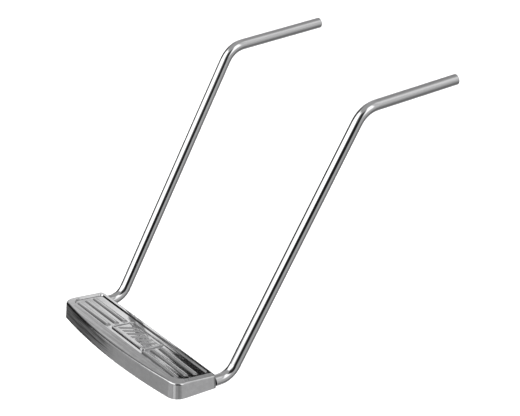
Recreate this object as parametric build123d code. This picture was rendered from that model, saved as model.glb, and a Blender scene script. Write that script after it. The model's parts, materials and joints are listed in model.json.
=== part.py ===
from build123d import *
from math import cos, degrees, radians, sin, sqrt, tan
import os

# Salon chair footrest: a ribbed cast foot plate on two bent steel bars.
# Millimetres.  The model is drawn in a plate frame (X along the plate, Y towards the
# chair, Z up, origin midway between the two lower bend corners) and is then moved so
# that the tip of the right prong is the origin and both prongs run along +Y.

# foot plate, outside
PLATE_LENGTH = 303.6
PLATE_END_DEPTH = 68.4
FRONT_BOW = 11.5
REAR_HEIGHT = 19.5
WEDGE_ANGLE = 5.1
WALL_DRAFT = 4.0
FRONT_CORNER_RADIUS = 18.0
REAR_CORNER_RADIUS = 6.0
RIM_EDGE_RADIUS = 3.0
STEEPEST_TOP = 30.0

# tread recess in the top of the plate; the land round it falls away to the plate's edge
REAR_LAND = 7.5
END_LAND = 9.5
FRONT_LAND = 8.0
LAND_FALL = 8.0
TREAD_DEPTH = 2.0
TREAD_WALL_SLOPE = 42.0
TREAD_FRONT_RADIUS = 18.0
TREAD_REAR_RADIUS = 4.0

# raised grip ribs, the same set on each half: long domes that sink towards the plate's end
RIB_COUNT = 3
RIB_PITCH = 14.0
RIB_RADIUS = 6.9
RIB_INNER_HEIGHT = 2.0
RIB_OUTER_HEIGHT = 1.2
RIB_ROOT = 1.0
RIB_FIRST_SETBACK = 24.5
RIB_INNER_X = 50.0
RIB_OUTER_GAP = 20.0
RIB_SWEEP = 4.0

# centre badge, blank, seated in its own pocket in the tread floor
BADGE_LENGTH = 84.0
BADGE_WIDTH = 38.0
BADGE_SETBACK = 33.5
BADGE_CORNER_RADIUS = 5.0
BADGE_BASE = 1.6
BADGE_BORDER_WIDTH = 3.0
BADGE_BORDER_HEIGHT = 1.2
BADGE_BORDER_ROUND = 1.1
BADGE_SEAT_DEPTH = 0.8
BADGE_CLEARANCE = 0.1
STRIPE_COUNT = 6
STRIPE_PITCH = 11.0
STRIPE_RADIUS = 3.4
STRIPE_LENGTH = 20.0
STRIPE_LEAN = 28.0
STRIPE_HEIGHT = 1.3

# hollow underside
WALL = 5.0
DECK = 3.6
WEB = 3.0
WEB_COUNT = 5
WEB_LIFT = 2.0

# bars
BAR_DIAMETER = 16.0
BAR_END_INSET = 1.8
BAR_RISE = 5.5
LOWER_BEND_RADIUS = 29.0
UPPER_BEND_RADIUS = 39.0
STUB_LENGTH = 26.0
SLOPE_LENGTH = 406.7
SLOPE_ANGLE = 60.0
SLOPE_SPLAY = 1.95
PRONG_LENGTH = 166.0
PRONG_ANGLE = 4.0
PRONG_CHAMFER = 1.0

# bar ends in the casting
SPIGOT_DIAMETER = 8.0
SPIGOT_LENGTH = 44.0
SPIGOT_CLEARANCE = 0.05
SPIGOT_CHAMFER = 1.0
SOCKET_BEHIND = 1.5
BOSS_WALL = 3.0

# flat head screws, from below through the casting into the bar ends
SCREW_DIAMETER = 4.0
SCREW_HEAD_DIAMETER = 8.0
SCREW_HEAD_HEIGHT = 2.2
SCREW_LENGTH = 8.0
SCREW_CLEARANCE = 0.2
SCREW_THREAD_GAP = 0.02
SCREW_SETBACKS = (13.0, 33.0)
HEX_ACROSS_FLATS = 2.5
HEX_DEPTH = 1.5
SCREW_TIP_SPACE = 0.5

# how far a cut runs on past the face that it opens
CUT_PAST = 1.0

# places that follow from the sizes above
bar_radius = BAR_DIAMETER / 2
bar_x = PLATE_LENGTH / 2 - BAR_END_INSET - bar_radius
rear_y = -STUB_LENGTH
bottom_z = -BAR_RISE
top_z = bottom_z + REAR_HEIGHT
wedge_rise = tan(radians(WEDGE_ANGLE))
splay_shift = tan(radians(SLOPE_SPLAY)) * SLOPE_LENGTH
prong_x = bar_x + splay_shift
corner_y = SLOPE_LENGTH * cos(radians(SLOPE_ANGLE))
corner_z = SLOPE_LENGTH * sin(radians(SLOPE_ANGLE))
tip_y = corner_y + PRONG_LENGTH * cos(radians(PRONG_ANGLE))
tip_z = corner_z + PRONG_LENGTH * sin(radians(PRONG_ANGLE))
boss_half = SPIGOT_DIAMETER / 2 + BOSS_WALL
tread_half = PLATE_LENGTH / 2 - END_LAND
tread_front = PLATE_END_DEPTH - FRONT_LAND


def top_plane(drop):
    """Plane parallel to the plate's sloping top, drop below it, origin at the rear edge."""
    slope = radians(WEDGE_ANGLE)
    return Plane(
        origin=(0, rear_y, top_z - drop / cos(slope)),
        x_dir=(1, 0, 0),
        z_dir=(0, sin(slope), cos(slope)),
    )


def outline(inset):
    """Plan outline of the plate with a bowed front edge, moved in by inset."""
    half = PLATE_LENGTH / 2
    front = rear_y - PLATE_END_DEPTH
    path = Polyline((half, front), (half, rear_y), (-half, rear_y), (-half, front))
    path += ThreePointArc((-half, front), (0, front - FRONT_BOW), (half, front))
    face = make_face(path)
    face = fillet(face.vertices().group_by(Axis.Y)[-1], REAR_CORNER_RADIUS)
    face = fillet(face.vertices().group_by(Axis.Y)[0], FRONT_CORNER_RADIUS)
    if inset > 0:
        face = offset(face, -inset, kind=Kind.INTERSECTION)
    return face


def above(plane):
    """Everything above a plane, for trimming the plate."""
    reach = 3 * PLATE_LENGTH
    return plane * Box(reach, reach, reach, align=(Align.CENTER, Align.CENTER, Align.MIN))


def rim_edges(blank):
    """Edges where the top meets the walls: those that only one of the top faces has."""
    tops = [face for face in blank.faces() if face.normal_at().Z > cos(radians(STEEPEST_TOP))]
    edges = [edge for face in tops for edge in face.edges()]
    return [edge for edge in edges if sum(edge.is_same(other) for other in edges) == 1]


def tread_plan(growth, rear, rear_radius):
    """Plan of the tread, growth larger at its ends and front, square to the rear edge."""
    half = tread_half + growth
    front = -tread_front - growth
    plan = make_face(Polyline((half, front), (half, rear), (-half, rear), (-half, front), close=True))
    plan = fillet(plan.vertices().group_by(Axis.Y)[-1], rear_radius)
    return fillet(plan.vertices().group_by(Axis.Y)[0], TREAD_FRONT_RADIUS + growth)


def lid():
    """Room under the top: level over the tread, falling to the front and to both ends."""
    reach = END_LAND + FRONT_LAND + FRONT_BOW
    drop = reach * tan(radians(LAND_FALL))
    plan = tread_plan(reach, PLATE_END_DEPTH, REAR_CORNER_RADIUS)
    cap = extrude(plan, drop, taper=90 - LAND_FALL)
    below = Box(2 * PLATE_LENGTH, 4 * PLATE_END_DEPTH, 4 * REAR_HEIGHT)
    return top_plane(drop) * (cap + Pos(0, 0, -2 * REAR_HEIGHT) * below)


def plate_blank():
    """Solid wedge with drafted walls, its top falling away round the tread to a round edge."""
    height = REAR_HEIGHT + 2 * wedge_rise * (PLATE_END_DEPTH + FRONT_BOW)
    blank = extrude(Pos(0, 0, bottom_z) * outline(0), height, taper=WALL_DRAFT)
    blank &= lid()
    return fillet(rim_edges(blank), RIM_EDGE_RADIUS)


def tread_recess():
    """Shallow pocket with sloping sides, straight in front and rounded at its corners."""
    run = TREAD_DEPTH * tan(radians(TREAD_WALL_SLOPE))
    plan = tread_plan(-run, -REAR_LAND - run, TREAD_REAR_RADIUS)
    return top_plane(TREAD_DEPTH) * extrude(plan, 2 * TREAD_DEPTH, taper=-TREAD_WALL_SLOPE)


def grip_rib(side, index):
    """One long dome on the tread floor, lower at its outer end; side -1 is the left half."""
    setback = RIB_FIRST_SETBACK + index * RIB_PITCH
    outer_x = PLATE_LENGTH / 2 - RIB_OUTER_GAP - index * RIB_SWEEP / (RIB_COUNT - 1)
    inner = Vector(side * RIB_INNER_X, -setback, RIB_INNER_HEIGHT - RIB_RADIUS)
    outer = Vector(side * outer_x, -setback, RIB_OUTER_HEIGHT - RIB_RADIUS)
    rib = straight(inner, outer, RIB_RADIUS)
    rib += Pos(inner) * Sphere(RIB_RADIUS)
    rib += Pos(outer) * Sphere(RIB_RADIUS)
    return top_plane(TREAD_DEPTH) * (rib & above(Plane.XY.offset(-RIB_ROOT)))


def badge_plan(growth):
    """Rounded rectangle of the badge, growth larger on every side."""
    return RectangleRounded(
        BADGE_LENGTH + 2 * growth, BADGE_WIDTH + 2 * growth, BADGE_CORNER_RADIUS + growth
    )


def badge_seat():
    """Pocket in the tread floor that the badge drops into."""
    seat = extrude(badge_plan(BADGE_CLEARANCE), 2 * TREAD_DEPTH)
    return top_plane(TREAD_DEPTH + BADGE_SEAT_DEPTH) * Pos(0, -BADGE_SETBACK, 0) * seat


def boss_block(side):
    """Solid metal kept round a bar end inside the hollow."""
    depth = SPIGOT_LENGTH + SOCKET_BEHIND + BOSS_WALL
    width = PLATE_LENGTH
    centre = side * (bar_x - boss_half + width / 2)
    return Pos(centre, rear_y - depth / 2, 0) * Box(width, depth, 4 * REAR_HEIGHT)


def underside_hollow():
    """Room under the deck, split into cells by webs and left solid round the bar ends."""
    tall = 4 * REAR_HEIGHT
    room = extrude(Pos(0, 0, bottom_z - CUT_PAST) * outline(WALL), tall)
    room -= above(top_plane(TREAD_DEPTH + DECK))
    for side in (-1, 1):
        room -= boss_block(side)
    span = 2 * (bar_x - boss_half)
    step = span / (WEB_COUNT + 1)
    web_z = bottom_z + WEB_LIFT
    for index in range(WEB_COUNT):
        web_x = -span / 2 + (index + 1) * step
        web = Box(WEB, 3 * PLATE_END_DEPTH, tall, align=(Align.CENTER, Align.CENTER, Align.MIN))
        room -= Pos(web_x, rear_y, web_z) * web
    long_web = Box(PLATE_LENGTH, WEB, tall, align=(Align.CENTER, Align.CENTER, Align.MIN))
    room -= Pos(0, rear_y - PLATE_END_DEPTH / 2, web_z) * long_web
    return room


def socket(side):
    """Bore for a bar end, open at the rear face."""
    radius = SPIGOT_DIAMETER / 2 + SPIGOT_CLEARANCE
    end = rear_y - SPIGOT_LENGTH - SOCKET_BEHIND
    length = rear_y + CUT_PAST - end
    bore = Cylinder(radius, length, rotation=(90, 0, 0))
    return Pos(side * bar_x, end + length / 2, 0) * bore


def screw_cut(side, setback):
    """Clearance hole and countersink in the floor of a boss."""
    radius = SCREW_DIAMETER / 2 + SCREW_CLEARANCE
    shank = Cylinder(radius, bar_radius, align=(Align.CENTER, Align.CENTER, Align.MIN))
    sink = screw_head(SCREW_CLEARANCE / 2)
    return Pos(side * bar_x, rear_y - setback, bottom_z) * (shank + sink)


def screw_head(growth):
    """Cone of a flat head, growth larger in radius, with its wide face at zero."""
    wide = SCREW_HEAD_DIAMETER / 2 + growth
    narrow = SCREW_DIAMETER / 2 + growth
    return Cone(wide, narrow, SCREW_HEAD_HEIGHT, align=(Align.CENTER, Align.CENTER, Align.MIN))


def foot_plate():
    """The casting with its tread, its hollow underside and its bar sockets."""
    plate = plate_blank() - tread_recess()
    for side in (-1, 1):
        for index in range(RIB_COUNT):
            plate += grip_rib(side, index)
    plate -= badge_seat()
    plate -= underside_hollow()
    for side in (-1, 1):
        plate -= socket(side)
        for setback in SCREW_SETBACKS:
            plate -= screw_cut(side, setback)
    return plate


def badge_stripe(offset):
    """One plain slanting dome on the badge, offset along it from its middle."""
    lean = radians(STRIPE_LEAN)
    half = Vector(sin(lean), cos(lean), 0) * (STRIPE_LENGTH / 2)
    middle = Vector(offset, 0, BADGE_BASE + STRIPE_HEIGHT - STRIPE_RADIUS)
    stripe = straight(middle - half, middle + half, STRIPE_RADIUS)
    for end in (middle - half, middle + half):
        stripe += Pos(end) * Sphere(STRIPE_RADIUS)
    return stripe & above(Plane.XY.offset(BADGE_BASE / 2))


def badge():
    """Blank badge: a base, a raised round border and plain slanting stripes."""
    blank = extrude(badge_plan(0), BADGE_BASE)
    border = extrude(badge_plan(0) - badge_plan(-BADGE_BORDER_WIDTH), BADGE_BASE + BADGE_BORDER_HEIGHT)
    blank += fillet(border.faces().sort_by(Axis.Z)[-1].edges(), BADGE_BORDER_ROUND)
    first = -(STRIPE_COUNT - 1) / 2 * STRIPE_PITCH
    for index in range(STRIPE_COUNT):
        blank += badge_stripe(first + index * STRIPE_PITCH)
    return top_plane(TREAD_DEPTH + BADGE_SEAT_DEPTH) * Pos(0, -BADGE_SETBACK, 0) * blank


def straight(start, end, radius):
    """Round bar of the given radius between two points."""
    run = end - start
    return extrude(Plane(origin=start, z_dir=run.normalized()) * Circle(radius), run.length)


def bend(corner, into, out, radius):
    """Round bend that joins two straight runs at a corner, with its two ends."""
    turn = radians(into.get_angle(out))
    tangent = radius * tan(turn / 2)
    start = corner - into * tangent
    normal = into.cross(out).normalized()
    inward = normal.cross(into).normalized()
    centre = start + inward * radius
    section = Plane(origin=start, z_dir=into) * Circle(bar_radius)
    elbow = revolve(section, Axis(centre, normal), degrees(turn))
    return elbow, start, corner + out * tangent


def bar(side):
    """Bent bar: spigot, stub, lower bend, slope, upper bend and prong."""
    x = side * bar_x
    low = Vector(x, 0, 0)
    high = Vector(side * prong_x, corner_y, corner_z)
    tip = Vector(side * prong_x, tip_y, tip_z)
    along = Vector(0, 1, 0)
    slope = (high - low).normalized()
    out = (tip - high).normalized()
    elbow_low, low_start, low_end = bend(low, along, slope, LOWER_BEND_RADIUS)
    elbow_high, high_start, high_end = bend(high, slope, out, UPPER_BEND_RADIUS)
    shoulder = Vector(x, rear_y, 0)
    prong = straight(high_end, tip, bar_radius)
    prong = chamfer(prong.edges().sort_by(Axis.Y)[-1], PRONG_CHAMFER)
    spigot_end = shoulder - along * SPIGOT_LENGTH
    spigot = straight(spigot_end, shoulder, SPIGOT_DIAMETER / 2)
    spigot = chamfer(spigot.edges().sort_by(Axis.Y)[0], SPIGOT_CHAMFER)
    body = straight(shoulder, low_start, bar_radius) + spigot + elbow_low
    body += straight(low_end, high_start, bar_radius)
    body += elbow_high
    body += prong
    for setback in SCREW_SETBACKS:
        body -= tapped_hole(side, setback)
    return body


def tapped_hole(side, setback):
    """Blind hole up into a bar end for a screw, with the rest of its countersink."""
    radius = SCREW_DIAMETER / 2 + SCREW_THREAD_GAP
    depth = SCREW_LENGTH + SCREW_TIP_SPACE
    hole = Cylinder(radius, depth, align=(Align.CENTER, Align.CENTER, Align.MIN))
    sink = screw_head(SCREW_CLEARANCE / 2)
    return Pos(side * bar_x, rear_y - setback, bottom_z) * (hole + sink)


def screw(side, setback):
    """Flat head screw with a hexagon socket, head down."""
    body = Cylinder(SCREW_DIAMETER / 2, SCREW_LENGTH, align=(Align.CENTER, Align.CENTER, Align.MIN))
    body += screw_head(0)
    across_corners = HEX_ACROSS_FLATS / sqrt(3)
    body -= extrude(RegularPolygon(across_corners, 6), HEX_DEPTH)
    return Pos(side * bar_x, rear_y - setback, bottom_z) * body


def place(shape):
    """Move from the plate frame to the part's frame."""
    tip = Vector(prong_x, tip_y, tip_z)
    wall_end = tip - Vector(0, cos(radians(PRONG_ANGLE)), sin(radians(PRONG_ANGLE))) * PRONG_CHAMFER
    return Rot(-PRONG_ANGLE, 0, 0) * Pos(-wall_end) * shape


os.makedirs("parts", exist_ok=True)
nodes = {"foot_plate": foot_plate(), "badge": badge()}
for name, side in (("left", -1), ("right", 1)):
    nodes["bar_" + name] = bar(side)
    for number, setback in enumerate(SCREW_SETBACKS, start=1):
        nodes["screw_" + name + "_" + str(number)] = screw(side, setback)
for node, shape in nodes.items():
    export_step(place(shape), "parts/" + node + ".step")
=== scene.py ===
import json
import math

import bpy
from mathutils import Matrix, Vector


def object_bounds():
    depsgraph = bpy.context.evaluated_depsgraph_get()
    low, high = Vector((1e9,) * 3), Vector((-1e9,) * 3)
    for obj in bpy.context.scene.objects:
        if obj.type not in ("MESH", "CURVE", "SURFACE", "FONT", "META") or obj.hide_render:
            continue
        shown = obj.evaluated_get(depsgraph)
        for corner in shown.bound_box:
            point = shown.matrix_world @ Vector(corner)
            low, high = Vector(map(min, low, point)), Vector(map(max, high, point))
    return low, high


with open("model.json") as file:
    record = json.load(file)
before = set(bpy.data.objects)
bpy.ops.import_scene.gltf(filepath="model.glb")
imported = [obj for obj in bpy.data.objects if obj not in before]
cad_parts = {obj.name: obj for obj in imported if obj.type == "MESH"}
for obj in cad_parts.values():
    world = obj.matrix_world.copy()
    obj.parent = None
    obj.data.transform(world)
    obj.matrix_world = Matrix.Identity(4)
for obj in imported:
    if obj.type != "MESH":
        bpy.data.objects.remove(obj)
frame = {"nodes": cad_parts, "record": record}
cad_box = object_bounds()

# Metres throughout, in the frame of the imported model: the origin is the tip of the right
# prong, +Y runs out along the prongs and +Z is up.

# camera: place, then turn from +Y, dip and roll in degrees
CAMERA_PLACE = (1.5563, -1.4253, 0.8346)
CAMERA_HEADING = 55.124
CAMERA_DIP = 26.054
CAMERA_ROLL = -2.166
CAMERA_LENS_MM = 111.5
CAMERA_SENSOR_MM = 36.0
CAMERA_REACH = 50.0

# stage
FLOOR_HALF = 9.0
FLOOR_DROP = 0.25
WALL_RADIUS = 8.5
WALL_HEIGHT = 9.0
WALL_FOOT = 0.3
WALL_STEPS = 96
SUN_STRENGTH = 2.6
SUN_SPREAD = 70.0

# satin ends: the dull stretch ends just inside the upper bends, over a short fade
SATIN_PAST_PRONG = 0.00175
SATIN_FADE = 0.006

# studio: light level where no panel lies, then panels laid over it in this order.
# Azimuth is 0 at -Y and 90 at +X, height is above the horizon, both in degrees.
STUDIO_LEVEL = 0.55
STUDIO_PANELS = (
    # left, right, lowest, highest, brightness, soft side, soft edge
    (-200.0, 200.0, -95.0, -10.0, 0.46, 1.0, 8.0),
    (-50.0, 37.0, 20.0, 63.0, 2.2, 6.0, 4.0),
    (-62.0, -48.0, 10.0, 42.0, 0.75, 4.0, 5.0),
    (34.0, 62.0, 26.0, 60.0, 0.35, 6.0, 5.0),
    (37.0, 90.0, -6.0, 24.0, 0.02, 6.0, 5.0),
    (53.0, 87.0, 16.0, 48.0, 0.04, 6.0, 6.0),
    (90.0, 118.0, 10.0, 60.0, 1.9, 5.0, 7.0),
    (92.0, 120.0, -3.0, 9.0, 0.90, 4.0, 5.0),
    (90.0, 128.0, -32.0, -4.0, 0.62, 6.0, 5.0),
    (118.0, 132.0, -4.0, 60.0, 0.85, 4.0, 9.0),
    (132.0, 158.0, 12.0, 56.0, 1.15, 6.0, 9.0),
    (158.0, 200.0, -8.0, 60.0, 0.60, 6.0, 8.0),
    (-200.0, -138.0, -8.0, 60.0, 0.42, 6.0, 8.0),
    (-140.0, -112.0, -14.0, 12.0, 0.90, 4.0, 4.0),
    (-150.0, -128.0, 13.0, 30.0, 0.02, 0.5, 2.0),
    (-128.0, -112.0, 13.0, 28.0, 1.35, 0.5, 3.0),
    (-125.6, -112.0, 13.0, 28.0, 0.80, 1.2, 3.0),
    (-130.0, -110.0, 29.0, 44.0, 0.50, 3.0, 2.5),
    (-112.0, -98.0, 0.0, 52.0, 0.40, 4.0, 5.0),
    (-98.0, -64.0, 8.0, 50.0, 0.22, 6.0, 5.0),
    (-112.0, -84.0, -13.0, 4.0, 0.95, 6.0, 4.0),
    (-86.0, -60.0, -38.0, -16.0, 0.19, 6.0, 4.0),
    (-92.0, -54.5, -22.0, 33.0, 0.015, 3.0, 3.0),
    (-34.0, 8.0, -40.0, -12.0, 0.60, 6.0, 5.0),
    (14.0, 36.0, -40.0, -12.0, 0.85, 4.0, 5.0),
    (58.0, 78.0, -40.0, -12.0, 0.36, 4.0, 5.0),
    (-62.0, 20.0, -36.0, -29.0, 0.10, 6.0, 1.5),
    (128.0, 178.0, -58.0, -27.0, 0.25, 6.0, 4.0),
)

# places of the colour sockets on Blender's mix node, whose names repeat
MIX_A = 6
MIX_B = 7
MIX_RESULT = 2


# ---------------------------------------------------------------- node helpers
class Nodes:
    """Short calls for building a node tree."""

    def __init__(self, tree):
        self.tree = tree
        self.tree.nodes.clear()

    def add(self, kind, **values):
        node = self.tree.nodes.new(kind)
        for key, value in values.items():
            setattr(node, key, value)
        return node

    def link(self, a, b):
        self.tree.links.new(a, b)

    def feed(self, socket, value):
        """Link a socket, or set a plain value."""
        if isinstance(value, bpy.types.NodeSocket):
            self.link(value, socket)
        else:
            socket.default_value = value

    def math(self, operation, a, b=0.0, c=0.0):
        node = self.add("ShaderNodeMath", operation=operation)
        for socket, value in zip(node.inputs, (a, b, c)):
            self.feed(socket, value)
        return node.outputs[0]

    def ramp(self, value, low, high, out_low=0.0, out_high=1.0):
        """Smooth step from out_low at low to out_high at high."""
        node = self.add("ShaderNodeMapRange", interpolation_type="SMOOTHSTEP")
        names = ("Value", "From Min", "From Max", "To Min", "To Max")
        for name, item in zip(names, (value, low, high, out_low, out_high)):
            self.feed(node.inputs[name], item)
        return node.outputs["Result"]

    def noise(self, vector, scale, detail=2.0, rough=0.5):
        node = self.add("ShaderNodeTexNoise")
        self.link(vector, node.inputs["Vector"])
        node.inputs["Scale"].default_value = scale
        node.inputs["Detail"].default_value = detail
        node.inputs["Roughness"].default_value = rough
        return node.outputs["Fac"]

    def stretch(self, vector, scale):
        node = self.add("ShaderNodeMapping")
        self.link(vector, node.inputs["Vector"])
        node.inputs["Scale"].default_value = scale
        return node.outputs["Vector"]

    def split(self, vector):
        """The x, y and z of a vector."""
        node = self.add("ShaderNodeSeparateXYZ")
        self.link(vector, node.inputs[0])
        return node.outputs

    def bump(self, height, distance, strength=1.0, normal=None):
        node = self.add("ShaderNodeBump")
        node.inputs["Strength"].default_value = strength
        node.inputs["Distance"].default_value = distance
        self.link(height, node.inputs["Height"])
        if normal is not None:
            self.link(normal, node.inputs["Normal"])
        return node.outputs["Normal"]

    def mix(self, factor, a, b):
        node = self.add("ShaderNodeMix", data_type="RGBA")
        self.feed(node.inputs["Factor"], factor)
        self.feed(node.inputs[MIX_A], a)
        self.feed(node.inputs[MIX_B], b)
        return node.outputs[MIX_RESULT]


def grey(value):
    """A grey with a trace of blue, as the metals have."""
    return (value, value, value * 1.01, 1.0)


def new_material(name):
    material = bpy.data.materials.new(name)
    material.use_nodes = True
    return material, Nodes(material.node_tree)


def finish_material(n, color, roughness, normal, metallic=1.0):
    shader = n.add("ShaderNodeBsdfPrincipled")
    output = n.add("ShaderNodeOutputMaterial")
    n.feed(shader.inputs["Base Color"], color)
    n.feed(shader.inputs["Roughness"], roughness)
    shader.inputs["Metallic"].default_value = metallic
    n.link(normal, shader.inputs["Normal"])
    n.link(shader.outputs["BSDF"], output.inputs["Surface"])


def prong_length():
    """Length of a prong's straight wall, from the record's mounts."""
    mounts = {mount["name"]: mount for mount in frame["record"]["mounts"]}
    return mounts["prong_right"]["dims"]["length_mm"] / 1000.0


# ---------------------------------------------------------------- materials
def bar_metal():
    """Chrome on the bent bars, dulled to satin on the prongs by the chair's sockets."""
    material, n = new_material("bar_chrome")
    place = n.add("ShaderNodeTexCoord").outputs["Object"]
    satin_end = -prong_length() - SATIN_PAST_PRONG
    prong = n.ramp(n.split(place)["Y"], satin_end - SATIN_FADE, satin_end + SATIN_FADE)

    smear = n.noise(n.stretch(place, (1.0, 0.25, 0.35)), 60.0, 4.0, 0.6)
    scratch = n.noise(n.stretch(place, (900.0, 25.0, 900.0)), 1.0, 3.0, 0.6)
    grain = n.noise(place, 2600.0, 2.0, 0.5)
    waver = n.noise(place, 38.0, 1.0)

    bright_rough = n.ramp(smear, 0.35, 0.75, 0.025, 0.06)
    satin_rough = n.ramp(smear, 0.35, 0.7, 0.16, 0.23)
    spread = n.math("SUBTRACT", satin_rough, bright_rough)
    roughness = n.math("MULTIPLY_ADD", spread, prong, bright_rough)

    chrome = n.mix(n.ramp(smear, 0.3, 0.8), grey(0.54), grey(0.58))
    satin = n.mix(scratch, grey(0.48), grey(0.62))
    color = n.mix(prong, chrome, satin)

    normal = n.bump(waver, 0.00012, 0.5)
    normal = n.bump(grain, 0.00001, 0.15, normal)
    normal = n.bump(n.math("MULTIPLY", scratch, prong), 0.00002, 0.35, normal)
    finish_material(n, color, roughness, normal)
    return material


def plate_metal(name, light, dark):
    """Buffed chrome on a casting: wavy along its length, with fine lines, a few pits and
    painted shade in its recesses.
    """
    material, n = new_material(name)
    place = n.add("ShaderNodeTexCoord").outputs["Object"]
    geometry = n.add("ShaderNodeNewGeometry")
    facing = n.split(geometry.outputs["Normal"])

    # the wave is strongest on the long walls and nearly gone on the two ends
    long_wall = n.ramp(n.math("ABSOLUTE", facing["Y"]), 0.5, 0.9, 1.0, 2.2)
    end_wall = n.ramp(n.math("ABSOLUTE", facing["X"]), 0.3, 0.8, 1.0, 0.15)
    wave = n.noise(n.stretch(place, (8.0, 190.0, 190.0)), 1.0, 2.0, 0.5)
    wave = n.math("MULTIPLY", n.math("MULTIPLY", wave, long_wall), end_wall)
    lines = n.noise(n.stretch(place, (30.0, 1400.0, 1400.0)), 1.0, 3.0, 0.6)
    cloud = n.noise(place, 90.0, 4.0, 0.6)
    pits = n.ramp(n.noise(place, 1500.0, 1.0, 0.5), 0.66, 0.78)

    # recesses and creases are darkened in the colour: painted shade, where shade falls in them
    painted_shade_recess = n.ramp(geometry.outputs["Pointiness"], 0.40, 0.50)
    tone = n.mix(n.ramp(cloud, 0.3, 0.75), grey(dark), grey(light))
    color = n.mix(painted_shade_recess, grey(dark * 0.75), tone)
    lined = n.math("MULTIPLY", lines, 0.04)
    roughness = n.math("ADD", n.ramp(cloud, 0.35, 0.75, 0.03, 0.08), lined)

    normal = n.bump(wave, 0.00024, 0.6)
    normal = n.bump(lines, 0.000004, 0.2, normal)
    normal = n.bump(pits, 0.00001, 0.2, normal)
    finish_material(n, color, roughness, normal)
    return material


def screw_metal():
    """Dark zinc-plated steel, a little dusty."""
    material, n = new_material("screw_steel")
    place = n.add("ShaderNodeTexCoord").outputs["Object"]
    cloud = n.noise(place, 400.0, 4.0, 0.6)
    color = n.mix(cloud, grey(0.22), grey(0.42))
    normal = n.bump(n.noise(place, 1800.0, 2.0), 0.00004, 0.4)
    finish_material(n, color, n.ramp(cloud, 0.3, 0.7, 0.28, 0.5), normal)
    return material


def paint(node, material):
    mesh = frame["nodes"][node].data
    mesh.materials.clear()
    mesh.materials.append(material)


def paint_all():
    """Every node keeps its own shape and gets the material of its kind."""
    bar = bar_metal()
    plate = plate_metal("plate_chrome", 0.57, 0.51)
    badge = plate_metal("badge_chrome", 0.60, 0.48)
    screw = screw_metal()
    for node in frame["nodes"]:
        if node.startswith("bar_"):
            paint(node, bar)
        elif node.startswith("screw_"):
            paint(node, screw)
        elif node == "badge":
            paint(node, badge)
        else:
            paint(node, plate)


# ---------------------------------------------------------------- stage
def stage_piece(name, points, faces, material):
    """A piece of the stage, which the metal doesn't mirror."""
    mesh = bpy.data.meshes.new(name)
    mesh.from_pydata(points, [], faces)
    mesh.materials.append(material)
    piece = bpy.data.objects.new(name, mesh)
    bpy.context.scene.collection.objects.link(piece)
    piece.visible_glossy = False
    return piece


def box_centre():
    low, high = cad_box
    return (Vector(low) + Vector(high)) / 2


def floor_paper():
    material, n = new_material("floor_paper")
    place = n.add("ShaderNodeTexCoord").outputs["Object"]
    fibre = n.noise(place, 500.0, 3.0)
    color = n.mix(fibre, grey(0.90), grey(0.92))
    finish_material(n, color, 0.9, n.bump(fibre, 0.0002, 0.1), 0.0)
    return material


def floor():
    """Plain pale floor, well below the object."""
    centre = box_centre()
    z = cad_box[0][2] - FLOOR_DROP
    signs = ((-1, -1), (1, -1), (1, 1), (-1, 1))
    points = [(centre.x + FLOOR_HALF * a, centre.y + FLOOR_HALF * b, z) for a, b in signs]
    stage_piece("floor", points, [(0, 1, 2, 3)], floor_paper())


def backdrop():
    """Plain white wall round the floor, for the camera alone: it lights and mirrors nothing."""
    centre = box_centre()
    foot = cad_box[0][2] - WALL_FOOT
    top = cad_box[0][2] + WALL_HEIGHT
    turns = [2 * math.pi * index / WALL_STEPS for index in range(WALL_STEPS)]
    points = []
    for z in (foot, top):
        for turn in turns:
            x = centre.x + WALL_RADIUS * math.cos(turn)
            y = centre.y + WALL_RADIUS * math.sin(turn)
            points.append((x, y, z))
    faces = []
    for index in range(WALL_STEPS):
        following = (index + 1) % WALL_STEPS
        faces.append((index, following, WALL_STEPS + following, WALL_STEPS + index))
    material, n = new_material("backdrop_white")
    glow = n.add("ShaderNodeEmission")
    output = n.add("ShaderNodeOutputMaterial")
    n.link(glow.outputs[0], output.inputs["Surface"])
    piece = stage_piece("backdrop", points, faces, material)
    piece.visible_diffuse = False
    piece.visible_shadow = False


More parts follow.
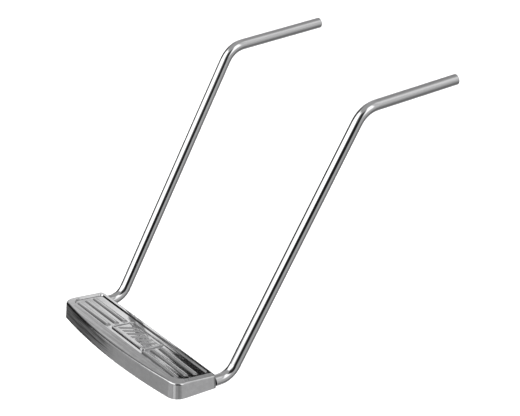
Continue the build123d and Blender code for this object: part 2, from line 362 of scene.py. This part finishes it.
# ---------------------------------------------------------------- light
def studio():
    """Soft boxes and darker gaps round the object, for its chrome to mirror."""
    world = bpy.data.worlds.new("studio")
    bpy.context.scene.world = world
    world.use_nodes = True
    n = Nodes(world.node_tree)
    x, y, z = n.split(n.add("ShaderNodeTexCoord").outputs["Generated"])
    to_degrees = math.degrees(1.0)
    azimuth = n.math("ARCTAN2", x, n.math("MULTIPLY", y, -1.0))
    azimuth = n.math("MULTIPLY", azimuth, to_degrees)
    height = n.math("MULTIPLY", n.math("ARCSINE", z), to_degrees)

    def panel(left, right, lowest, highest, side, edge):
        """1 inside a panel and 0 outside it, with soft borders."""
        rise = n.ramp(azimuth, left - side, left + side)
        fall = n.ramp(azimuth, right - side, right + side, 1.0, 0.0)
        up = n.ramp(height, lowest - edge, lowest + edge)
        down = n.ramp(height, highest - edge, highest + edge, 1.0, 0.0)
        return n.math("MULTIPLY", n.math("MULTIPLY", rise, fall), n.math("MULTIPLY", up, down))

    level = STUDIO_LEVEL
    for left, right, lowest, highest, brightness, side, edge in STUDIO_PANELS:
        inside = panel(left, right, lowest, highest, side, edge)
        kept = n.math("MULTIPLY", n.math("SUBTRACT", 1.0, inside), level)
        level = n.math("ADD", kept, n.math("MULTIPLY", inside, brightness))
    background = n.add("ShaderNodeBackground")
    n.link(level, background.inputs["Color"])
    output = n.add("ShaderNodeOutputWorld")
    n.link(background.outputs[0], output.inputs["Surface"])


def floor_light():
    """A broad soft light for the floor; the metal doesn't mirror it."""
    data = bpy.data.lights.new("floor_light", "SUN")
    data.energy = SUN_STRENGTH
    data.angle = math.radians(SUN_SPREAD)
    item = bpy.data.objects.new("floor_light", data)
    bpy.context.scene.collection.objects.link(item)
    item.visible_glossy = False


# ---------------------------------------------------------------- camera
def camera():
    """Long lens above the front right of the object."""
    data = bpy.data.cameras.new("camera")
    data.sensor_width = CAMERA_SENSOR_MM
    data.lens = CAMERA_LENS_MM
    data.clip_end = CAMERA_REACH
    item = bpy.data.objects.new("camera", data)
    bpy.context.scene.collection.objects.link(item)
    heading = Matrix.Rotation(math.radians(CAMERA_HEADING), 4, "Z")
    dip = Matrix.Rotation(math.radians(90.0 - CAMERA_DIP), 4, "X")
    roll = Matrix.Rotation(math.radians(CAMERA_ROLL), 4, "Z")
    item.matrix_world = Matrix.Translation(CAMERA_PLACE) @ heading @ dip @ roll
    bpy.context.scene.camera = item


paint_all()
floor()
backdrop()
studio()
floor_light()
camera()
bpy.context.scene.view_settings.view_transform = "Standard"
